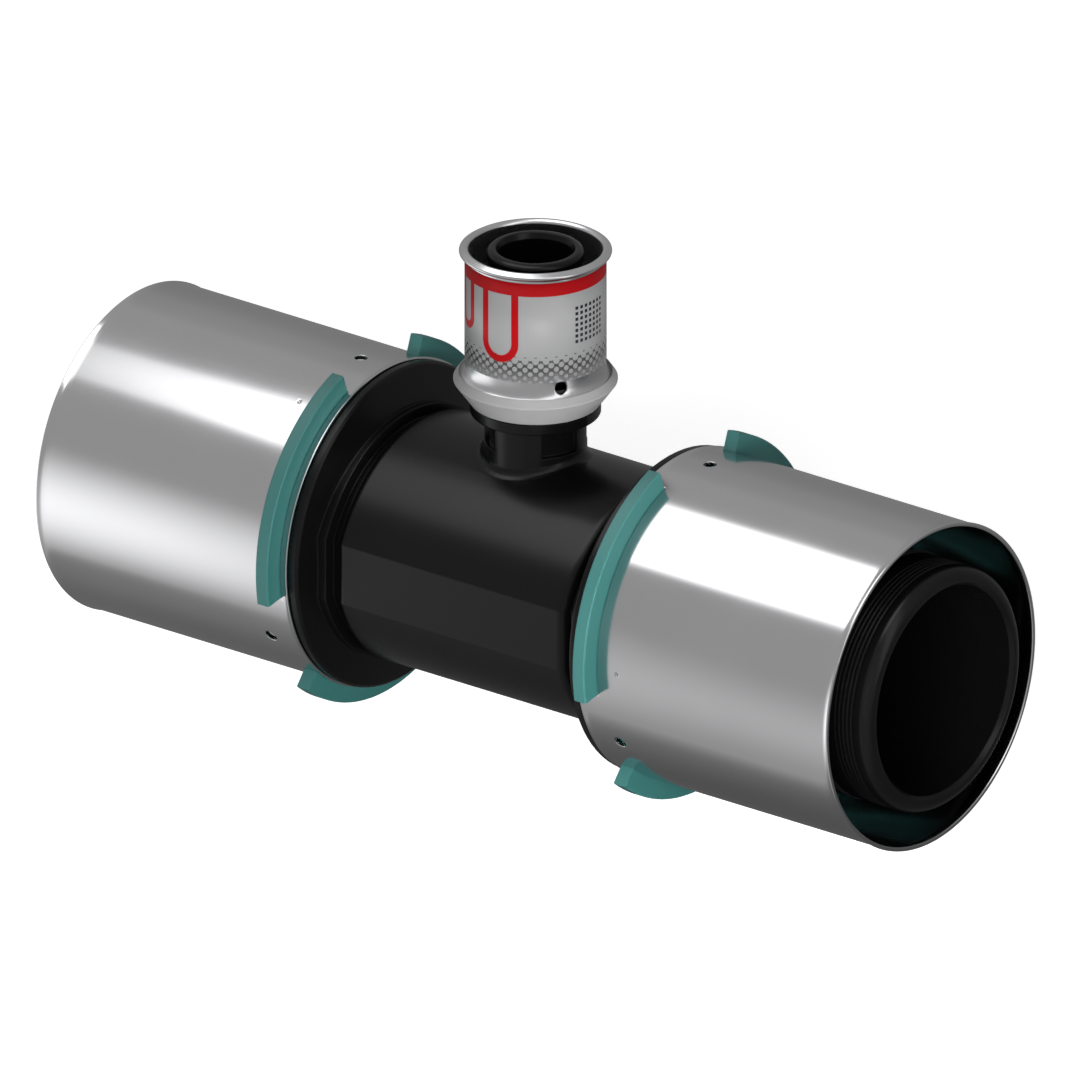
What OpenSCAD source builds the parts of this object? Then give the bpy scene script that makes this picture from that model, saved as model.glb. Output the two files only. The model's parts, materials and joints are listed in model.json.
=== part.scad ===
// Reducing tee for multilayer pipe: a moulded body with a press sleeve on each of its three ends.
// Modelled with the run along X and the branch straight up, then rolled about the run
// so that it lies on its stop ring lugs as it does on a bench. Millimetres.

/* [Run] */
// Distance from the middle of the tee to the mouth of a run sleeve
run_reach = 99.5; // [92:0.5:115]
// Gap between a run spigot and its sleeve, where the pipe's wall goes
run_pipe_gap = 7.2; // [6.8:0.1:7.6]
// Wall of the run press sleeves
run_sleeve_wall = 0.95; // [0.7:0.05:1.2]
// Length of a run press sleeve
run_sleeve_l = 63; // [60:0.5:66]
// Outside diameter of the run spigots, which the pipe slides over
run_spigot_d = 50.7; // [50:0.1:51.4]
// Wall of the run spigots, outside to waterway
run_spigot_wall = 3.75; // [3.4:0.05:4.2]
// How far a run spigot stands out of its sleeve
run_nose = 3.7; // [1:0.5:5]

/* [Branch] */
// Height of the branch sleeve's lip above the run axis
branch_reach = 69.1; // [66:0.1:76]
// Gap between the branch spigot and its sleeve, where the pipe's wall goes
branch_pipe_gap = 3.4; // [3.1:0.1:3.7]
// Wall of the branch press sleeve
branch_sleeve_wall = 0.8; // [0.6:0.05:1]
// Outside diameter of the branch spigot
branch_spigot_d = 19.6; // [19.2:0.1:19.8]
// Wall of the branch spigot, outside to waterway
branch_spigot_wall = 2.4; // [2.2:0.1:3.4]
// How far the sleeve's lip is rolled outwards
lip_roll = 1.25; // [0.8:0.05:1.6]

/* [Body] */
// Wall between the waterway and the barrel's two side flats
side_wall = 6; // [5.6:0.1:6.4]
// Wall between the waterway and the barrel's crowned bottom
crown_wall = 4.5; // [4.1:0.1:4.9]
// How much the radius of the crowned bottom exceeds the waterway's
crown_gain = 7.4; // [7.2:0.1:8.2]
// Wall between the waterway and the barrel's crowned top, where the branch stands
top_wall = 3.6; // [3.4:0.1:4]
// How much the radius of the crowned top exceeds the waterway's
top_gain = 8.2; // [7.8:0.1:8.8]
// Thickness of the flange rim that each run sleeve stops against
flange_t = 2.3; // [1.8:0.1:3.5]
// How much smaller the flange's radius is than the sleeve's
flange_inset = 0.1; // [0:0.05:0.4]
// Wall of the branch neck
neck_wall = 2.9; // [2.7:0.1:3.4]
// Width of the fillet round the foot of the branch neck
neck_fillet = 2; // [1.4:0.1:2.4]
// Depth of the four cored pockets in the neck
pocket_depth = 1.2; // [0.8:0.1:1.4]

/* [Stop rings] */
// Height of the jaw guide lugs above the run sleeve
lug_h = 4; // [2.5:0.1:5]
// Width of the lugs along the run
lug_w = 3; // [2:0.1:4]
// Angle that each of the three lugs covers
lug_span = 80; // [60:1:90]
// How far the rim of the branch stop ring stands out from the sleeve
cup_rim = 2.35; // [2:0.05:3]

/* [Seals] */
// Cord diameter of the run O-rings
run_seal_t = 2.4; // [1.8:0.1:2.6]
// Cord diameter of the branch O-rings
branch_seal_t = 1.6; // [1.2:0.1:1.8]
// How far an O-ring stands proud of its spigot before pressing
seal_proud = 0.2; // [0.1:0.05:0.24]

/* [Windows] */
// Diameter of the inspection windows in the run sleeves
run_window_d = 2.6; // [1.5:0.1:3.5]
// Diameter of the inspection windows in the branch sleeve
branch_window_d = 2.6; // [1.5:0.1:3]
// Diameter of the punch marks beside the run windows
punch_d = 0.9; // [0.5:0.1:1.2]

/* [Fits] */
// Gap between pieces that fit round or against each other
fit = 0.1; // [0.05:0.01:0.15]
// Thickness of the printed film on the branch sleeve
film_t = 0.1; // [0.06:0.01:0.2]

/* [Hidden] */
$fn = 96;
body_black = "#1d1d20";
steel = "#b4b4b8";
teal = "#58938d";
light_grey = "#c4c4c4";
film_white = "#cfcfd1";
seal_black = "#101012";
// Lugs on each ring, and the roll that puts the gap between two of them on the bench
lug_count = 3;
rest_roll = 180 / lug_count;
// Reach along the run, counted from the middle of the tee
nose_x = run_reach + run_nose;
sleeve_in_x = run_reach - run_sleeve_l;
flange_out_x = sleeve_in_x - fit;
flange_in_x = flange_out_x - flange_t;
// Radii on the run
spigot_r = run_spigot_d / 2;
sleeve_in_r = spigot_r + run_pipe_gap;
sleeve_r = sleeve_in_r + run_sleeve_wall;
bore_r = spigot_r - run_spigot_wall;
flange_r = sleeve_r - flange_inset;
seat_step = 2.65;
seat_r = spigot_r + seat_step;
rim_chamfer = 0.5;
nose_round = 2.6;
mouth_chamfer = 0.8;
// Barrel: half its height and half its width across the flats
barrel_half_h = bore_r + crown_wall;
barrel_half_w = bore_r + side_wall;
crown_r = bore_r + crown_gain;
crown_drop = crown_r - barrel_half_h;
top_r = bore_r + top_gain;
top_drop = top_gain - top_wall;
// The flange swells towards the hub, where a narrow collar, a groove and the barrel follow
hub_swell = 1.7;
collar_w = 1.5;
collar_step = 0.45;
groove_w = 2;
groove_depth = 2;
barrel_round = 2;
hub_x = flange_in_x - hub_swell;
hub_r = barrel_half_h;
collar_x = hub_x - collar_w;
barrel_x = collar_x - groove_w;
// Stop ring on the run: its seat on the body, its lugs and its snap bead
ring_back = 0.2;
ring_w = 5.4;
lug_back = 1.75;
ring_x = flange_out_x + ring_back;
ring_end_x = ring_x + ring_w;
ring_in_r = seat_r + fit;
ring_out_r = sleeve_in_r - fit;
lug_x = ring_x + lug_back;
crest_r = sleeve_r + lug_h;
lug_chamfer = 0.25;
snap_w = 1.2;
snap_h = 0.35;
snap_x = ring_x + ring_w / 2;
seat_short = 0.4;
seat_end_x = ring_end_x - seat_short;
// Windows and punch marks beyond the ring
run_window_ahead = 1.9;
punch_ahead = 4.4;
run_window_x = ring_end_x + run_window_ahead;
punch_x = ring_end_x + punch_ahead;
punch_turn = 30;
mouth_flare = 0.25;
mouth_flare_l = 1.4;
// Sealing zone of a run spigot, counted back from its nose
run_seal_gap = 0.35;
run_seal_back = [27, 14];
run_seal_x = [for (back = run_seal_back) nose_x - back];
barb_count = 5;
barb_pitch = 1;
barb_depth = 0.25;
barb_slope = 0.8;
run_barb_back = [22.4, 8.2];
// Branch: heights above the run axis
branch_spigot_r = branch_spigot_d / 2;
branch_bore_r = branch_spigot_r - branch_spigot_wall;
branch_sleeve_in_r = branch_spigot_r + branch_pipe_gap;
branch_sleeve_r = branch_sleeve_in_r + branch_sleeve_wall;
neck_r = branch_bore_r + neck_wall;
saddle_z = bore_r + top_wall;
neck_h = 7.6;
neck_top_z = saddle_z + neck_h;
shoulder_out = 2.75;
shoulder_under_h = 0.7;
shoulder_edge_h = 2.4;
shoulder_round = 0.4;
shoulder_r = neck_r + shoulder_out;
shoulder_z = neck_top_z + shoulder_under_h;
shoulder_top_z = shoulder_z + shoulder_edge_h;
pocket_foot = 2.2;
pocket_h = 5.4;
pocket_z = [saddle_z + pocket_foot, saddle_z + pocket_foot + pocket_h];
pocket_span = 48;
pocket_turns = [-128, -21, 52, 159];
branch_nose_back = 0.4;
branch_nose_z = branch_reach - branch_nose_back;
branch_nose_flare = 0.6;
branch_nose_round = 1.2;
// Branch stop ring: a cup that the sleeve's flared foot stands in
cup_r = branch_sleeve_r + cup_rim;
cup_z = shoulder_top_z + fit;
cup_h = 6.3;
cup_bevel = [1.05, 1.45];
cup_edge_w = 0.3;
cup_wall_in_r = cup_r - cup_bevel.x;
cup_floor_t = 5.8;
cup_floor_z = cup_z + cup_floor_t;
cup_hub_r = branch_sleeve_in_r - fit;
cup_seat_step = 1.5;
cup_in_r = branch_spigot_r + cup_seat_step;
cup_hub_z = cup_z + cup_h;
seat_branch_r = cup_in_r - fit;
seat_branch_z = cup_hub_z - seat_short;
// Foot, windows and film of the branch sleeve
foot_flare = cup_wall_in_r - fit - branch_sleeve_r;
foot_h = 3.2;
foot_z = cup_floor_z + fit;
lip_edge_t = 0.9;
lip_turn = 1;
branch_window_ahead = 1.7;
branch_window_z = cup_hub_z + branch_window_ahead;
branch_window_turn = -31;
film_low_z = branch_window_z + branch_window_d / 2 + fit;
film_back = 0.2;
film_high_z = branch_reach - lip_roll - lip_edge_t - film_back;
// Sealing zone of the branch spigot
branch_seal_gap = 0.25;
branch_seal_back = [14, 7.4];
branch_seal_z = [for (back = branch_seal_back) branch_nose_z - back];
branch_barb_back = 4.4;
branch_barb_pitch = 1.3;
branch_barb_count = 2;
branch_barb_depth = 0.3;
// Small overlap that joins two forms of one piece
bite = 0.05;
steps = 8;
// Saddle fillet: steps across it and round the neck, and how far its edges are let into the body
fillet_steps = 5;
fillet_turns = 48;
let_in = 0.06;

// Rolls the whole fitting about the run, so the branch leans back and the lugs stand on the bench
module resting() {
    rotate([-rest_roll, 0, 0]) children();
}

// Puts a form turned about Z on the run axis, on the left (-1) or the right (1)
module on_run(side) {
    mirror([side < 0 ? 1 : 0, 0, 0]) rotate([0, 90, 0]) children();
}

// Turns an outline of [radius, height] points
module turned(outline, sweep = 360) {
    rotate_extrude(angle = sweep) polygon(outline);
}

// Quarter arc from one angle to another round [radius, height]
function arc(centre, r, from, to, n = steps) =
    [for (i = [0 : n]) let (a = from + (to - from) * i / n) centre + r * [cos(a), sin(a)]];

// Square groove of an O-ring in a spigot of radius r, centred at height h
function seal_groove(r, h, t, gap, proud) =
    [[r, h - t / 2 - gap], [r + proud - t, h - t / 2 - gap],
     [r + proud - t, h + t / 2 + gap], [r, h + t / 2 + gap]];

// Saw-tooth barbs that grip the pipe: square behind, sloping towards the nose
function barbs(r, h, depth, pitch, count) =
    [for (i = [0 : count - 1], corner = [[0, 0], [-depth, 0], [0, barb_slope]])
        [r + corner.x, h + (i + corner.y) * pitch]];

// Crowned barrel section: two big cylinders and the two side flats, grown by g, rounded at its ends
module barrel_form(half, g, round_end) {
    intersection() {
        translate([0, 0, -top_drop]) rotate([0, 90, 0]) crowned_bar(half, top_r + g, round_end);
        translate([0, 0, crown_drop]) rotate([0, 90, 0]) crowned_bar(half, crown_r + g, round_end);
        flat_bar(half, barrel_half_w + g, round_end);
    }
}

module crowned_bar(half, r, round_end) {
    turned(concat([[0, -half]],
                  arc([r - round_end, round_end - half], round_end, -90, 0),
                  arc([r - round_end, half - round_end], round_end, 0, 90),
                  [[0, half]]));
}

module flat_bar(half, w, round_end) {
    corner = [half - round_end, w - round_end];
    linear_extrude(height = 4 * barrel_half_h, center = true)
        polygon(concat(arc(corner, round_end, 0, 90),
                       arc([-corner.x, corner.y], round_end, 90, 180),
                       arc(-corner, round_end, 180, 270),
                       arc([corner.x, -corner.y], round_end, 270, 360)));
}

// Narrow collars between the flanges and the barrel's end grooves
module barrel_collars() {
    intersection() {
        barrel_form(flange_in_x, collar_step, bite);
        union() {
            for (side = [-1, 1]) on_run(side)
                translate([0, 0, collar_x]) cylinder(h = flange_in_x - collar_x, r = 2 * barrel_half_w);
        }
    }
}

// One run end of the body, turned: flange, stop ring seat with its snap groove, and barbed spigot
function run_end_outline() = concat(
    [[0, hub_x], [hub_r, hub_x],
     [flange_r - rim_chamfer, flange_in_x], [flange_r, flange_in_x + rim_chamfer],
     [flange_r, flange_out_x - rim_chamfer], [flange_r - rim_chamfer, flange_out_x],
     [seat_r, flange_out_x],
     [seat_r, snap_x - snap_w / 2 - fit], [seat_r - snap_h, snap_x - fit],
     [seat_r - snap_h, snap_x + fit], [seat_r, snap_x + snap_w / 2 + fit],
     [seat_r, seat_end_x], [spigot_r, seat_end_x]],
    seal_groove(spigot_r, run_seal_x[0], run_seal_t, run_seal_gap, seal_proud),
    barbs(spigot_r, nose_x - run_barb_back[0], barb_depth, barb_pitch, barb_count),
    seal_groove(spigot_r, run_seal_x[1], run_seal_t, run_seal_gap, seal_proud),
    barbs(spigot_r, nose_x - run_barb_back[1], barb_depth, barb_pitch, barb_count),
    arc([spigot_r - nose_round, nose_x - nose_round], nose_round, 0, 90),
    [[0, nose_x]]);

// The branch end of the body, turned: neck, disc shoulder, cup seat and barbed spigot
function branch_end_outline() = concat(
    [[0, 0], [neck_r, 0], [neck_r, neck_top_z]],
    arc([shoulder_r - shoulder_round, shoulder_z + shoulder_round], shoulder_round, -90, 0),
    [[shoulder_r, shoulder_top_z], [seat_branch_r, shoulder_top_z],
     [seat_branch_r, seat_branch_z], [branch_spigot_r, seat_branch_z]],
    seal_groove(branch_spigot_r, branch_seal_z[0], branch_seal_t, branch_seal_gap, seal_proud),
    seal_groove(branch_spigot_r, branch_seal_z[1], branch_seal_t, branch_seal_gap, seal_proud),
    barbs(branch_spigot_r, branch_nose_z - branch_barb_back, branch_barb_depth, branch_barb_pitch,
          branch_barb_count),
    arc([branch_spigot_r - branch_nose_round, branch_nose_z - branch_nose_round],
        branch_nose_round, 0, 90),
    [[0, branch_nose_z]]);

// Height of the crowned top at distance r from the branch axis, in the direction a
function crown_z(r, a) = sqrt(pow(top_r, 2) - pow(r * sin(a), 2)) - top_drop;

// Section of the saddle fillet in the direction a: a curve from the barrel, tangent to it, up to the
// neck, tangent to that, with both ends let in a little so the fillet grows out of the body
function saddle_section(a) =
    let (low = [neck_r + neck_fillet, crown_z(neck_r + neck_fillet, a) - let_in],
         corner = [neck_r, crown_z(neck_r, a)],
         high = [neck_r - let_in, crown_z(neck_r, a) + neck_fillet])
    concat([for (i = [0 : fillet_steps]) let (t = i / fillet_steps)
                (1 - t) * (1 - t) * low + 2 * t * (1 - t) * corner + t * t * high],
           [[neck_r - 1, corner.y - 1]]);

// Saddle fillet: the section carried round the neck while it follows the barrel's crown
module saddle_fillet() {
    count = fillet_steps + 2;
    ring = [for (k = [0 : fillet_turns - 1]) let (a = 360 * k / fillet_turns)
        each [for (q = saddle_section(a)) [q.x * cos(a), q.x * sin(a), q.y]]];
    skin = [for (k = [0 : fillet_turns - 1], i = [0 : count - 1])
        let (next = (k + 1) % fillet_turns, up = (i + 1) % count)
        each [[k * count + i, k * count + up, next * count + i],
              [next * count + i, k * count + up, next * count + up]]];
    polyhedron(points = ring, faces = skin);
}

// Waterways, each with a rounded or flared mouth
module waterways() {
    for (side = [-1, 1]) on_run(side) {
        translate([0, 0, nose_x - mouth_chamfer])
            cylinder(h = mouth_chamfer + bite, r1 = bore_r, r2 = bore_r + mouth_chamfer + bite);
    }
    rotate([0, 90, 0]) cylinder(h = 2 * nose_x + 2, r = bore_r, center = true);
    cylinder(h = branch_reach + 1, r = branch_bore_r);
    translate([0, 0, branch_nose_z - 2 * branch_nose_flare])
        cylinder(h = 2 * branch_nose_flare + bite, r1 = branch_bore_r,
                 r2 = branch_bore_r + branch_nose_flare + bite / 2);
}

// Cored pocket in the neck: a ring sector that leaves ribs between the shoulder and the barrel
module neck_pocket() {
    rotate([0, 0, -pocket_span / 2])
        turned([[neck_r - pocket_depth, pocket_z[0]], [shoulder_r + 2, pocket_z[0]],
                [shoulder_r + 2, pocket_z[1]], [neck_r - pocket_depth, pocket_z[1]]],
               pocket_span);
}

module tee_body() {
    color(body_black) resting() difference() {
        union() {
            barrel_form(barrel_x, 0, barrel_round);
            barrel_form(flange_in_x, -groove_depth, bite);
            barrel_collars();
            for (side = [-1, 1]) on_run(side) turned(run_end_outline());
            turned(branch_end_outline());
            saddle_fillet();
        }
        for (turn = pocket_turns) rotate([0, 0, turn]) neck_pocket();
        waterways();
    }
}

// Run press sleeve: a thin steel tube with slots for the lugs, windows, punch marks and a flared mouth
module press_sleeve(side) {
    color(steel) resting() on_run(side) difference() {
        turned([[sleeve_in_r, sleeve_in_x], [sleeve_r, sleeve_in_x],
                [sleeve_r, run_reach - mouth_flare_l], [sleeve_r + mouth_flare, run_reach],
                [sleeve_in_r + mouth_flare, run_reach], [sleeve_in_r, run_reach - mouth_flare_l]]);
        for (k = [0 : lug_count - 1]) {
            lug_turn(k) lug_slot();
            gap_turn(k) run_window();
            rotate([0, 0, -side * punch_turn]) gap_turn(k) punch_mark();
        }
    }
}

// A turned form on the run has its seam towards -Z once laid along X, where the first lug stands
module lug_turn(k) {
    rotate([0, 0, k * 360 / lug_count]) children();
}

module gap_turn(k) {
    rotate([0, 0, (k + 0.5) * 360 / lug_count]) children();
}

module lug_slot() {
    span = lug_span + 2 * atan(fit / sleeve_r);
    rotate([0, 0, -span / 2])
        turned([[sleeve_in_r - 1, lug_x - fit], [sleeve_r + 1, lug_x - fit],
                [sleeve_r + 1, lug_x + lug_w + fit], [sleeve_in_r - 1, lug_x + lug_w + fit]], span);
}

module run_window() {
    translate([0, 0, run_window_x]) rotate([0, 90, 0])
        cylinder(h = sleeve_r + 1, d = run_window_d, $fn = 32);
}

module punch_mark() {
    translate([sleeve_r + punch_d * 0.1, 0, punch_x]) sphere(d = punch_d, $fn = 24);
}

// Run stop ring: sits on the body inside the sleeve, its lugs stand out through the slots
module stop_ring(side) {
    color(teal) resting() on_run(side) union() {
        turned([[ring_in_r, ring_x], [ring_out_r, ring_x], [ring_out_r, ring_end_x],
                [ring_in_r, ring_end_x], [ring_in_r, snap_x + snap_w / 2],
                [ring_in_r - snap_h, snap_x + fit / 2], [ring_in_r - snap_h, snap_x - fit / 2],
                [ring_in_r, snap_x - snap_w / 2]]);
        for (k = [0 : lug_count - 1]) lug_turn(k) jaw_lug();
    }
}

module jaw_lug() {
    low = lug_x;
    high = lug_x + lug_w;
    rotate([0, 0, -lug_span / 2])
        turned([[ring_out_r - 1, low], [crest_r - lug_chamfer, low], [crest_r, low + lug_chamfer],
                [crest_r, high - lug_chamfer], [crest_r - lug_chamfer, high], [ring_out_r - 1, high]],
               lug_span);
}

// Foot of the branch sleeve: a quarter ellipse that flares outwards to its end
function foot_curve(r) =
    [for (i = [0 : steps]) let (a = 90 * i / steps)
        [r + foot_flare * (1 - sin(a)), foot_z + foot_h * (1 - cos(a))]];

// Lip of the branch sleeve: under face, rounded rim, crest and the curve into the mouth
function lip_outline(r) = concat(
    [[r, branch_reach - lip_roll - lip_edge_t]],
    arc([r + lip_roll - lip_edge_t / 2, branch_reach - lip_edge_t], lip_edge_t / 2, -90, 90, 6),
    arc([r - branch_sleeve_wall + lip_turn, branch_reach - lip_turn], lip_turn, 90, 180));

// Branch press sleeve: drawn tube with a rolled lip, a flared foot and three windows
module press_sleeve_branch() {
    wall = branch_sleeve_wall;
    r = branch_sleeve_r;
    color(steel) resting() difference() {
        turned(concat(foot_curve(r), lip_outline(r), [for (i = [steps : -1 : 0]) foot_curve(r - wall)[i]]));
        for (k = [0 : 2]) rotate([0, 0, branch_window_turn + 120 * k]) translate([0, 0, branch_window_z])
            rotate([0, 90, 0]) cylinder(h = 2 * branch_sleeve_r, d = branch_window_d, $fn = 32);
    }
}

// Branch stop ring: a light cup that the sleeve's foot stands in, clipped on the body's seat
module stop_ring_branch() {
    color(light_grey) resting()
        turned([[cup_in_r, cup_z], [shoulder_r, cup_z], [cup_r, cup_z + cup_h - cup_bevel.y - cup_edge_w],
                [cup_r, cup_z + cup_h - cup_bevel.y], [cup_wall_in_r + bite, cup_z + cup_h],
                [cup_wall_in_r, cup_z + cup_h], [cup_wall_in_r, cup_floor_z],
                [cup_hub_r, cup_floor_z], [cup_hub_r, cup_hub_z], [cup_in_r, cup_hub_z]]);
}

// Printed film wrapped round the branch sleeve
module print_film() {
    low_r = branch_sleeve_r + fit / 5;
    color(film_white) resting()
        turned([[low_r, film_low_z], [low_r + film_t, film_low_z],
                [low_r + film_t, film_high_z], [low_r, film_high_z]]);
}

// O-ring of cord diameter t at height h round a spigot of radius r
module o_ring(r, h, t) {
    translate([0, 0, h]) rotate_extrude() translate([r + seal_proud - t / 2 + fit / 10, 0])
        circle(d = t - fit / 5, $fn = 32);
}

module o_ring_run(side, h) {
    color(seal_black) resting() on_run(side) o_ring(spigot_r, h, run_seal_t);
}

module o_ring_branch(h) {
    color(seal_black) resting() o_ring(branch_spigot_r, h, branch_seal_t);
}

tee_body();
press_sleeve(-1);  // press_sleeve_left
press_sleeve(1);  // press_sleeve_right
press_sleeve_branch();
stop_ring(-1);  // stop_ring_left
stop_ring(1);  // stop_ring_right
stop_ring_branch();
print_film();
o_ring_run(-1, run_seal_x[0]);  // o_ring_left_inner
o_ring_run(-1, run_seal_x[1]);  // o_ring_left_outer
o_ring_run(1, run_seal_x[0]);  // o_ring_right_inner
o_ring_run(1, run_seal_x[1]);  // o_ring_right_outer
o_ring_branch(branch_seal_z[0]);  // o_ring_branch_lower
o_ring_branch(branch_seal_z[1]);  // o_ring_branch_upper
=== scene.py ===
# %% [markdown]
# # A reducing tee, dressed for its portrait
# The CAD model has the form but not the looks. This lesson adds those of the real fitting: bright
# steel press sleeves, a printed film, satin black plastic and matt stop rings, in soft studio
# light. The packed model comes first, because every later piece takes its place from it.

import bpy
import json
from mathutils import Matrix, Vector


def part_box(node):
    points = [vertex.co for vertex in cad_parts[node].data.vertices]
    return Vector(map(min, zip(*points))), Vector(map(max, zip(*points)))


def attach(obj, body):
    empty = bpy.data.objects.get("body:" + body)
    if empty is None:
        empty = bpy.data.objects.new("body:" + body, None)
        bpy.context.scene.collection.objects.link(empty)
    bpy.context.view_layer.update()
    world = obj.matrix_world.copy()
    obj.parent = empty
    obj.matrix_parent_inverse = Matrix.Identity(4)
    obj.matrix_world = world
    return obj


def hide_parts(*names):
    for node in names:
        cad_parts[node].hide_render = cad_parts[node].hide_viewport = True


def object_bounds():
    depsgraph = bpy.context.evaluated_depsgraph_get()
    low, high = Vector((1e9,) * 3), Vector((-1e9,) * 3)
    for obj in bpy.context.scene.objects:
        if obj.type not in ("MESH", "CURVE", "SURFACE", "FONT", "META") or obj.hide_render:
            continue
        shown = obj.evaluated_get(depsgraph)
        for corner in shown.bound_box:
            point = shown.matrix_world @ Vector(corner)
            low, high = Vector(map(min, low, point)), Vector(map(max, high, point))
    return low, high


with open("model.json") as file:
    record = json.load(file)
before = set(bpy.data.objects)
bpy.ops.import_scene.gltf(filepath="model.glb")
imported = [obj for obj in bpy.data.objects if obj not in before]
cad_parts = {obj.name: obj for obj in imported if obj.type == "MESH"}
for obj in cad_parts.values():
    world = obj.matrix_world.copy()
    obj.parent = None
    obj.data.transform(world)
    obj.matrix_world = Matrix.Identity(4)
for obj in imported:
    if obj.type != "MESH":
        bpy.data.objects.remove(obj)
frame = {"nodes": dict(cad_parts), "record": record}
cad_low, cad_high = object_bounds()
print("nodes:", sorted(frame["nodes"]))

# %% Other modules
import json

import bmesh
import bpy
import numpy as np

# %% [markdown]
# ## Two frames of one tee
# The tee lies on its stop rings, so its branch leans back. Its pieces are easier to describe
# upright: the run along X and the branch along Z. `lie_down` turns such points into the model's
# frame. The branch's axis comes from the record's mounts, so the two can't disagree.

# %% From upright to lying
MM = 0.001
mounts = {m["name"]: m for m in frame["record"]["mounts"]}
branch_axis = np.array(mounts["branch_waterway"]["axis"])
across_axis = np.array([0, branch_axis[2], -branch_axis[1]])
LYING = np.array([[1, 0, 0], across_axis, branch_axis])


def lie_down(upright):
    """Upright point (x, y, z) goes to x * X + y * across_axis + z * branch_axis."""
    return np.asarray(upright) @ LYING


print("branch axis:", branch_axis.round(4))

# %% [markdown]
# ## Sizes read from the model
# Lengths along the run and the sleeves' radius come straight from the nodes' boxes. What the boxes
# can't tell, such as a wall or the place of a window, is written once here as a real size.

# %% Sizes of the run sleeves
low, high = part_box("press_sleeve_right")
SLEEVE_START, SLEEVE_END = low.x, high.x
MOUTH_FLARE, MOUTH_FLARE_L = 0.25 * MM, 1.4 * MM
START_FLARE, START_FLARE_L = 0.3 * MM, 1.2 * MM
SLEEVE_MOUTH_R = high.z
SLEEVE_R = SLEEVE_MOUTH_R - MOUTH_FLARE
SLEEVE_WALL = 0.95 * MM
RING_START, RING_END = (corner.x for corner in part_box("stop_ring_right"))
LUG_START = RING_START + 1.75 * MM
LUG_END = LUG_START + 3 * MM
LUG_SPAN = np.radians(80)
FIT = 0.1 * MM
WINDOW_X = RING_END + 1.9 * MM
WINDOW_R = 1.3 * MM
PUNCH_X = RING_END + 4.4 * MM
PUNCH_R = 0.45 * MM
PUNCH_DEPTH = 0.3 * MM
EDGE_SOFT = 0.1 * MM
print("sleeve from", round(SLEEVE_START / MM, 2), "to", round(SLEEVE_END / MM, 2), "mm")

# %% [markdown]
# ## Meshes from arrays
# Every new piece is a surface worked out as whole arrays. The first helper lists the quads of a
# grid of points.

# %% Grids


def grid_quads(rows, cols, close_rows=False, close_cols=False):
    """Quad (i, j) has the corners (i, j), (i, j + 1), (i + 1, j + 1), (i + 1, j)."""
    i = np.arange(rows if close_rows else rows - 1)[:, None]
    j = np.arange(cols if close_cols else cols - 1)[None, :]
    below, right = (i + 1) % rows, (j + 1) % cols
    corners = [i * cols + j, i * cols + right, below * cols + right, below * cols + j]
    return np.stack(corners, axis=-1).reshape(-1, 4)


print("quads of a grid with 3 rows and 4 columns:", len(grid_quads(3, 4)))

# %% [markdown]
# ## Objects from points
# The points and faces then go into an object that rides on the model. Normals are recalculated
# outwards once the shape is closed, so no surface has to care about its own direction. A small
# bevel on the sharp edges catches the light there, as the edge of a real sheet does.

# %% Objects
SAME_POINT = 1e-7


def add_object(name, data):
    """Object in the scene that shows a mesh, a lamp or a camera."""
    made = bpy.data.objects.new(name, data)
    bpy.context.scene.collection.objects.link(made)
    return made


def solid_piece(name, points, faces, material):
    """Closed mesh from points in metres and faces as index arrays, smooth, riding on the model."""
    mesh = bpy.data.meshes.new(name)
    mesh.from_pydata(np.asarray(points).tolist(), [], [f.tolist() for part in faces for f in part])
    work = bmesh.new()
    work.from_mesh(mesh)
    bmesh.ops.remove_doubles(work, verts=work.verts, dist=SAME_POINT)
    loose = [v for v in work.verts if not v.link_faces]
    bmesh.ops.delete(work, geom=loose, context="VERTS")
    bmesh.ops.recalc_face_normals(work, faces=work.faces)
    work.to_mesh(mesh)
    work.free()
    mesh.shade_smooth()
    mesh.materials.append(material)
    piece = add_object(name, mesh)
    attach(piece, "root")
    print(f"{name}: {len(mesh.vertices)} points, {len(mesh.polygons)} faces")
    return piece


def soften_edges(piece, width, angle=40, steps=2):
    """Rounds edges sharper than angle with a small bevel; the large faces keep their shine."""
    bevel = piece.modifiers.new("soft edges", "BEVEL")
    bevel.width = width
    bevel.segments = steps
    bevel.limit_method = "ANGLE"
    bevel.angle_limit = np.radians(angle)
    bevel.miter_outer = "MITER_ARC"
    weigh = piece.modifiers.new("even shine", "WEIGHTED_NORMAL")
    weigh.keep_sharp = False
    weigh.weight = 90


print("edges will be softened by", EDGE_SOFT / MM, "mm")

# %% [markdown]
# ## Materials from nodes
# Each finish is a small node tree. `Recipe` keeps the wiring short: it adds a node, sets its
# sockets and links what comes before it. Patterns read Object coordinates, which are the model's
# own metres, so a grain has the same real size on every piece.

# %% A short way to wire nodes


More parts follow.
